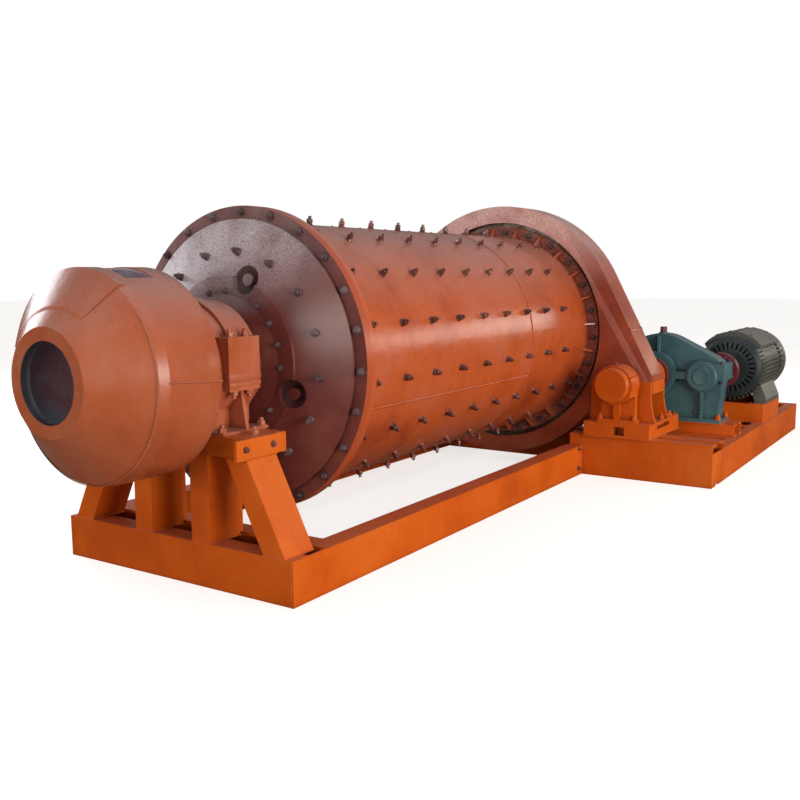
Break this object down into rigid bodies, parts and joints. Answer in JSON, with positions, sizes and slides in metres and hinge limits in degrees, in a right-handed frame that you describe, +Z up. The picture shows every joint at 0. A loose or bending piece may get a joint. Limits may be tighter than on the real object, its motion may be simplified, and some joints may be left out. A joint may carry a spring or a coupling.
{
  "type": "ball mill",
  "caption": "Overflow ball mill on a welded channel base: bolted drum on two trunnion bearings, drum feeder, guarded ring gear with pinion, gear reducer and motor.",
  "frame": {"origin": "on the floor, in the middle of the machine's footprint", "axes": "+X along the drum from the feed end to the discharge end, +Z up, the drive stands on the -Y side"},
  "size_m": [5.8, 2.2332, 1.6649],
  "materials": {
    "frame_paint": "orange enamel over rolled steel",
    "drum_paint": "orange-brown enamel over plate",
    "head_paint": "purple-brown primer over cast iron",
    "gear_steel": "machined teeth, primed rim",
    "shaft_steel": "turned steel",
    "reducer_paint": "blue-green enamel over cast iron",
    "motor_paint": "grey-green enamel over cast iron",
    "coupling_paint": "dark red enamel"
  },
  "bodies": {
    "base": {"reducer_lower_case": "reducer_paint", "reducer_upper_case": "reducer_paint", "reducer_covers": "reducer_paint", "reducer_breather": "coupling_paint", "motor_frame": "motor_paint", "motor_end_shield": "motor_paint", "motor_fan_cowl": "motor_paint", "feed_columns": "frame_paint", "feed_struts": "frame_paint", "feed_cross_beam": "frame_paint", "feed_bearing_pedestal": "frame_paint", "feed_bearing_cap": "frame_paint", "discharge_columns": "frame_paint", "discharge_struts": "frame_paint", "discharge_cross_beam": "frame_paint", "discharge_bearing_pedestal": "frame_paint", "discharge_bearing_cap": "frame_paint", "feed_base_beams": "frame_paint", "discharge_base_beams": "frame_paint", "near_long_beam": "frame_paint", "far_long_beam": "frame_paint", "drive_front_beams": "frame_paint", "drive_near_beam": "frame_paint", "drive_inner_beam": "frame_paint", "drive_cross_members": "frame_paint", "guard_front_plate": "frame_paint", "guard_back_plate": "frame_paint", "guard_rim": "frame_paint", "pinion_stand": "frame_paint", "pinion_bearing_front": "frame_paint", "pinion_bearing_rear": "frame_paint", "pinion_end_cap": "frame_paint", "reducer_rails": "frame_paint", "motor_stand": "frame_paint"},
    "drum": {"shell": "drum_paint", "manhole_cover": "drum_paint", "feed_head": "head_paint", "feeder": "drum_paint", "discharge_head": "head_paint", "discharge_spout": "head_paint", "ring_gear": "gear_steel"},
    "pinion_line": {"pinion": "shaft_steel", "low_speed_coupling": "coupling_paint"},
    "motor_line": {"high_speed_coupling": "coupling_paint"}
  },
  "joints": [
    {"name": "drum_spin", "type": "hinge", "parent": "base", "child": "drum", "pos_m": [-1.9, 0.31661, 0.865], "axis": [1, 0, 0], "continuous": true},
    {"name": "pinion_spin", "type": "hinge", "parent": "base", "child": "pinion_line", "pos_m": [-1.9, -0.54661, 0.577], "axis": [1, 0, 0], "continuous": true},
    {"name": "motor_spin", "type": "hinge", "parent": "base", "child": "motor_line", "pos_m": [-1.9, -0.86661, 0.577], "axis": [1, 0, 0], "continuous": true}
  ],
  "couplings": [
    {"joint": "pinion_spin", "follows": "drum_spin", "ratio": -5.5},
    {"joint": "motor_spin", "follows": "drum_spin", "ratio": 22}
  ]
}
